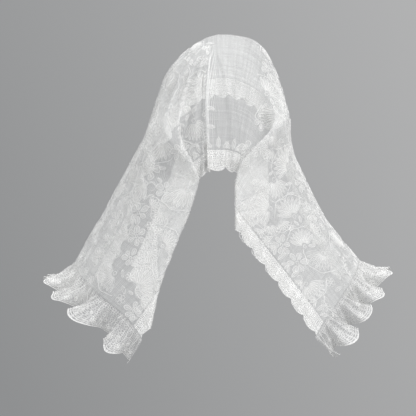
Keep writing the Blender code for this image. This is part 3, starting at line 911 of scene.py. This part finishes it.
def embroider():
    """Motifs over the net, set apart by their distance on the draped cloth."""
    work = Stitching(panel_surface, 1.0)
    taken = np.zeros((0, 3))
    rooms = np.zeros(0)
    for motif in MOTIFS:
        x = rng.uniform(-HALF_LENGTH + 5, HALF_LENGTH - 5, motif.tries)
        y = rng.uniform(-PANEL_FRONT + 4, PANEL_BACK - 4, motif.tries)
        size = rng.uniform(motif.small, motif.large, motif.tries)
        turn = rng.uniform(0, 2 * np.pi, motif.tries)
        places = panel_surface(x, y)
        count = 0
        for k in range(motif.tries):
            edge = min(HALF_LENGTH - abs(x[k]), PANEL_BACK - y[k], y[k] + PANEL_FRONT)
            if plain(places[k], motif.room) or edge < motif.room * 0.8:
                continue
            work.open_work = abs(places[k][0]) > 118
            room = motif.room * (1.3 if work.open_work else 1.0)
            if len(rooms) and np.any(np.linalg.norm(taken - places[k], axis=1) < rooms + room):
                continue
            draw(work, motif, x[k], y[k], turn[k], size[k], count)
            taken = np.vstack([taken, places[k]])
            rooms = np.append(rooms, room)
            count += 1
    return work.build("embroidery", soft_thread)


embroidery = embroider()


# ================================================================== scalloped edgings
def scallop(x):
    """How far the scalloped edge reaches at flat x, from its notches."""
    return SCALLOP_DEPTH * np.abs(np.cos(np.pi * x / SCALLOP_PITCH)) ** 0.8


def seam_room(x, y):
    """Flat distance across a lengthwise seam that leaves SEAM_GAP between the draped edges."""
    along = veil_point(x + 0.5, y) - veil_point(x - 0.5, y)
    across = veil_point(x, y + 0.5) - veil_point(x, y - 0.5)
    apart = np.linalg.norm(np.cross(along, across), axis=-1)
    apart = apart / np.maximum(np.linalg.norm(along, axis=-1), 0.05)
    return SEAM_GAP / np.clip(apart, 0.3, 1.0)


FLUTE_DEPTH = 4.2        # how far a flute of the hairline edging stands to each side


def fluted_surface(x, y):
    """The panel's drape with the flutes in which the hairline edging takes up its spare length."""
    x = np.asarray(x, float)
    y = np.asarray(y, float)
    free = np.clip((-PANEL_FRONT - y) / EDGING_WIDTH, 0.0, 1.0)
    held = smoothstep((HALF_LENGTH - np.abs(x)) / 22)
    depth = FLUTE_DEPTH * (1 + 0.2 * np.sin(x / 31)) * free ** 0.8 * held
    depth = depth * np.sin(2 * np.pi * x / SCALLOP_PITCH + 0.7 * np.sin(x / 43))
    return panel_surface(x, y) + surface_normal(panel_surface, x, y) * depth[..., None]


def edging_piece(name, seam_y, outer_y, surface):
    """Scalloped lace strip and the stitching on it, on its draped surface."""
    side = 1.0 if outer_y > seam_y else -1.0
    columns = 480
    rows = 9
    x = np.linspace(-HALF_LENGTH, HALF_LENGTH, columns + 1)
    notch = outer_y - side * (SCALLOP_DEPTH - scallop(x))
    flat = []
    faces = []
    start = seam_y + side * seam_room(x, np.full_like(x, seam_y))
    for k in range(columns + 1):
        for share in np.linspace(0, 1, rows):
            flat.append((x[k], start[k] + (notch[k] - start[k]) * share))
    for k in range(columns):
        for r in range(rows - 1):
            a = k * rows + r
            face = (a, a + rows, a + rows + 1, a + 1)
            faces.append(face if side > 0 else tuple(reversed(face)))
    flat = np.array(flat)
    strip = mesh_object(name + "_lace", surface(flat[:, 0], flat[:, 1]), faces, flat, (lace,))
    work = Stitching(surface, 1.0)
    plain = (np.zeros(2), np.array([1.0, 0.0]), np.array([0.0, 1.0]))
    for inset, wide in ((0.6, 1.3), (3.4, 0.7)):
        line = [(a, b - side * inset) for a, b in zip(x, notch)]
        work.cord(plain, line, wide, 0.7)
    work.cord(plain, [(a, b + side * 1.2) for a, b in zip(x, start)], 0.7, 0.45)
    middle = (seam_y + outer_y) / 2
    first = int(np.ceil(-HALF_LENGTH / SCALLOP_PITCH))
    for k in range(first, -first + 1):
        centre = k * SCALLOP_PITCH
        if abs(centre) > HALF_LENGTH - 9:
            continue
        shell(work, centre, middle + side * 2, np.radians(90 * side), 13.0, 5)
        if abs(centre + SCALLOP_PITCH / 2) < HALF_LENGTH - 6:
            daisy(work, centre + SCALLOP_PITCH / 2, middle + side * 0.5, k * 0.7, 10.5, 6)
            satin_pair(work, centre + SCALLOP_PITCH / 2, seam_y + side * 4.5, side)
        for shift, turn, length in ((-7, 128, 11), (0, 90, 14), (7, 52, 11), (13.5, 90, 8)):
            if abs(centre + shift) < HALF_LENGTH - 8:
                here = work.frame_at(centre + shift, seam_y - side * 1.5, np.radians(-turn * side))
                leaf(work, here, (0, 0), 0, length, length * 0.36)
    return strip, work.build(name + "_stitching", soft_thread)


def satin_pair(work, x, y, side):
    """Two small leaves that part from a point."""
    here = work.frame_at(x, y, np.radians(90 * side))
    for way in (-1, 1):
        work.satin(here, (0, 0), (2.5, way * 7), 2.2, 0.45, 0.8, steps=4)


back_strip, back_stitching = edging_piece("back", PANEL_BACK, BACK_REACH, panel_surface)
front_strip, front_stitching = edging_piece("front", -PANEL_FRONT, -FRONT_REACH, fluted_surface)


# ================================================================== gathered ends
def ruffle_piece(name, side):
    """Gathered lace end with its gathers and the cords of its free edge."""
    surface = ruffle_surface(side)
    seam = BACK_REACH + FRONT_REACH
    columns = 560
    rows = 15
    u = np.linspace(0, seam, columns + 1)
    flat = []
    faces = []
    for k in range(columns + 1):
        for share in np.linspace(0, 1, rows):
            flat.append((u[k], RUFFLE_WIDTH * share))
    for k in range(columns):
        for r in range(rows - 1):
            a = k * rows + r
            face = (a, a + rows, a + rows + 1, a + 1)
            faces.append(face if side < 0 else tuple(reversed(face)))
    flat = np.array(flat)
    # the gathered end's net is greyed with painted shade in its base colour
    cloth = mesh_object(name + "_cloth", surface(flat[:, 0], flat[:, 1]), faces, flat, (painted_shade_organza,))
    work = Stitching(surface, -side)
    plain = (np.zeros(2), np.array([1.0, 0.0]), np.array([0.0, 1.0]))
    for out, wide in ((RUFFLE_WIDTH - 0.7, 1.7), (RUFFLE_WIDTH - 5.0, 0.9), (RUFFLE_WIDTH - 8.5, 0.7)):
        work.cord(plain, [(a, out) for a in u], wide, 0.7)
    for k, a in enumerate(np.arange(2.0, seam - 1.0, 6.1)):
        end = RUFFLE_WIDTH * (0.34 + 0.16 * np.sin(k * 2.3))
        line = [(a + 1.2 * np.sin(k + 4 * t), end * t) for t in np.linspace(0.02, 1, 9)]
        work.cord(plain, line, 0.6, 0.3, taper=True)
    for k, a in enumerate(np.arange(4.0, seam - 4.0, 5.2)):
        out = RUFFLE_WIDTH * (0.50, 0.72, 0.61)[k % 3]
        if k % 3 == 1:
            daisy(work, a, out, 0.9 * k, 9.0, 5)
        else:
            leaf(work, work.frame_at(a, out, 1.7 * k), (-3, 0), 0, 6.5, 3.4)
    # the gathered end's stitching takes the thread darkened with painted shade
    return cloth, work.build(name + "_stitching", thread)


ruffle_left, left_stitching = ruffle_piece("ruffle_left", 1.0)
ruffle_right, right_stitching = ruffle_piece("ruffle_right", -1.0)

# ================================================================== ties to the frame
for piece in (
    panel, embroidery, back_strip, back_stitching, front_strip, front_stitching,
    ruffle_left, left_stitching, ruffle_right, right_stitching,
):
    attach(piece, "root")
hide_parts("net_panel")
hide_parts("back_edging")
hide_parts("front_edging")
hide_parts("ruffle_left")
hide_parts("ruffle_right")


# ================================================================== studio
def look_at(thing, place):
    """Turn a camera or light to face a place."""
    aim = Vector(place) - thing.location
    thing.rotation_euler = aim.to_track_quat("-Z", "Y").to_euler()


def studio():
    """Camera at shoulder height behind the wearer, soft light, pale floor."""
    scene = bpy.context.scene
    camera = bpy.data.objects.new("camera", bpy.data.cameras.new("camera"))
    scene.collection.objects.link(camera)
    camera.location = (0.0183, 3.2, -0.2293)
    camera.data.sensor_width = 36.0
    camera.data.lens = 36.0 * 3.17 / 0.545
    look_at(camera, (0.0183, 0.0, -0.2293))
    scene.camera = camera
    for name, place, size, power in (
        ("key", (-1.6, 2.4, 1.3), 1.6, 74),
        ("fill", (2.2, 1.6, 0.4), 2.0, 20),
        ("top", (0.2, -0.6, 2.0), 1.8, 36),
        ("front_fill", (-0.6, -2.4, 0.6), 2.0, 26),
    ):
        light = bpy.data.objects.new(name, bpy.data.lights.new(name, "AREA"))
        light.data.size = size
        light.data.energy = power
        light.location = place
        look_at(light, (0, 0, -0.2))
        scene.collection.objects.link(light)
    world = bpy.data.worlds.new("studio")
    scene.world = world
    world.use_nodes = True
    back = world.node_tree.nodes["Background"]
    place = world.node_tree.nodes.new("ShaderNodeTexCoord")
    apart = world.node_tree.nodes.new("ShaderNodeSeparateXYZ")
    world.node_tree.links.new(place.outputs["Generated"], apart.inputs["Vector"])
    slope = math_node(world.node_tree, "MULTIPLY_ADD", apart.outputs["X"], -3.6, 0.42)
    slope = math_node(world.node_tree, "MULTIPLY_ADD", apart.outputs["Z"], 1.6, slope, clamp=True)
    wall = world.node_tree.nodes.new("ShaderNodeMix")
    wall.data_type = "RGBA"
    wall.inputs["A"].default_value = (0.275, 0.280, 0.285, 1.0)
    wall.inputs["B"].default_value = (0.470, 0.472, 0.475, 1.0)
    world.node_tree.links.new(slope, wall.inputs["Factor"])
    world.node_tree.links.new(wall.outputs["Result"], back.inputs["Color"])
    back.inputs["Strength"].default_value = 1.0
    mesh = bpy.data.meshes.new("floor")
    mesh.from_pydata([(-3, -3, -1.6), (3, -3, -1.6), (3, 3, -1.6), (-3, 3, -1.6)], [], [(0, 1, 2, 3)])
    floor = bpy.data.objects.new("floor", mesh)
    scene.collection.objects.link(floor)
    material, tree, shader = principled("floor_paint")
    shader.inputs["Base Color"].default_value = (0.46, 0.46, 0.455, 1.0)
    shader.inputs["Roughness"].default_value = 0.8
    mesh.materials.append(material)
    scene.view_settings.view_transform = "Standard"
    scene.cycles.transparent_max_bounces = 40


studio()
